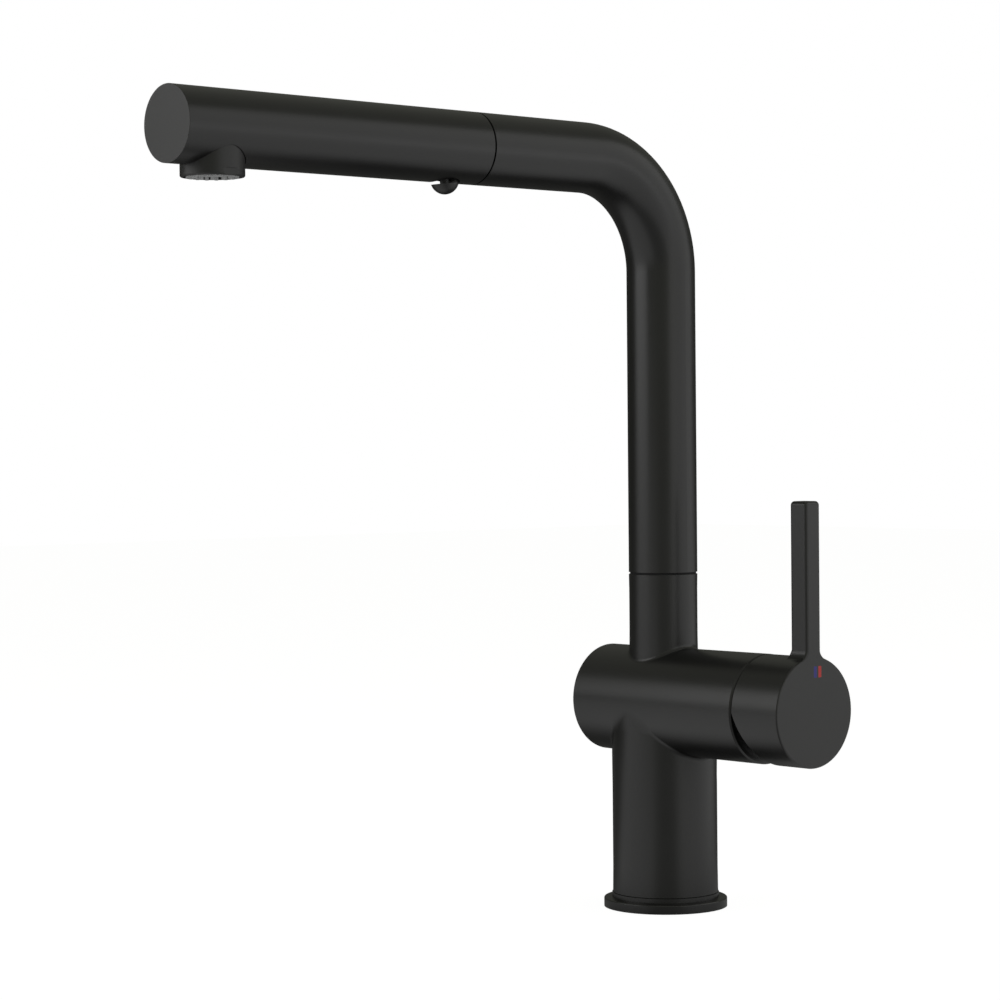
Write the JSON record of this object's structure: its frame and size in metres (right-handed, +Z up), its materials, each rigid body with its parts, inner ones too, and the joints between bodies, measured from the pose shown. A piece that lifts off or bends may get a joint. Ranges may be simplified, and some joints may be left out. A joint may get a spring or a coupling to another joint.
{
  "type": "pull-out kitchen mixer tap",
  "caption": "Single-lever kitchen mixer with a side lever, an L-shaped swivel spout and a pull-out spray head with a jet/spray toggle.",
  "frame": {"origin": "centre of the base's underside on the worktop, on the spout's swivel axis", "axes": "+Z up along the swivel axis; -Y along the spout arm, towards the sink; +X along the barrel, towards the lever"},
  "size_m": [0.1139, 0.2691, 0.317],
  "materials": {
    "satin_black": "satin black coat",
    "cap_black": "satin black coat",
    "trim_black": "moulded satin black",
    "inner_plastic": "moulded",
    "grey_plastic": "moulded",
    "nozzle_silicone": "soft matte",
    "seal_rubber": "matte",
    "hose_braid": "braided",
    "brass_parts": "turned",
    "steel_parts": "turned",
    "ceramic_discs": "lapped",
    "cold_blue": "enamel",
    "hot_red": "enamel"
  },
  "bodies": {
    "mixer": {"base_flange": "satin_black", "base_seal": "seal_rubber", "mixer_body": "satin_black", "cartridge_base": "inner_plastic", "port_seals": "seal_rubber", "cartridge_housing": "inner_plastic", "fixed_disc": "ceramic_discs", "cartridge_nut": "brass_parts", "cartridge_collar": "trim_black", "thrust_washer": "seal_rubber", "swivel_screw": "steel_parts"},
    "spout": {"spout_foot": "brass_parts", "swivel_bushes": "grey_plastic", "swivel_o_ring": "seal_rubber", "spout_tube": "satin_black", "dock_socket": "inner_plastic", "hose_riser": "hose_braid"},
    "head": {"head_shell": "satin_black", "waterway_insert": "inner_plastic", "dock_o_ring": "seal_rubber", "check_valve": "grey_plastic", "hose_lead": "hose_braid", "hose_connector": "brass_parts", "hose_washer": "seal_rubber", "toggle_pin": "steel_parts", "outlet_housing": "trim_black", "outlet_o_ring": "seal_rubber", "spray_plate": "inner_plastic", "nozzle_mat": "nozzle_silicone", "aerator_core": "nozzle_silicone"},
    "toggle": {"toggle_rocker": "trim_black"},
    "diverter": {"diverter_spool": "grey_plastic"},
    "rotor": {"spindle_rotor": "inner_plastic", "spindle_pin": "steel_parts"},
    "lever": {"lever_handle": "cap_black", "spindle": "brass_parts", "lever_grub_screw": "steel_parts", "lever_screw_plug": "trim_black", "cold_mark": "cold_blue", "hot_mark": "hot_red"},
    "valve_disc": {"moving_disc": "ceramic_discs", "disc_carrier": "inner_plastic"}
  },
  "joints": [
    {"name": "spout_swivel", "type": "hinge", "parent": "mixer", "child": "spout", "pos_m": [0, 0, 0.1363], "axis": [0, 0, 1], "range_deg": [-75, 75]},
    {"name": "head_pull", "type": "slide", "parent": "spout", "child": "head", "axis": [0, -1, 0], "range_m": [0, 0.5]},
    {"name": "toggle_rock", "type": "hinge", "parent": "head", "child": "toggle", "pos_m": [0, -0.1161, 0.294], "axis": [-1, 0, 0], "range_deg": [0, 11]},
    {"name": "diverter_shift", "type": "slide", "parent": "head", "child": "diverter", "axis": [0, 1, 0], "range_m": [0, 0.00115]},
    {"name": "lever_turn", "type": "hinge", "parent": "mixer", "child": "rotor", "pos_m": [0.054, 0, 0.084], "axis": [1, 0, 0], "range_deg": [-50, 50]},
    {"name": "lever_tilt", "type": "hinge", "parent": "rotor", "child": "lever", "pos_m": [0.054, 0, 0.084], "axis": [0, 1, 0], "range_deg": [0, 20]},
    {"name": "disc_slide", "type": "slide", "parent": "rotor", "child": "valve_disc", "axis": [0, 0, 1], "range_m": [0, 0.0052]}
  ],
  "couplings": [
    {"joint": "toggle_rock", "follows": "diverter_shift", "rad_per_m": 166.9},
    {"joint": "disc_slide", "follows": "lever_tilt", "m_per_rad": 0.01485}
  ]
}
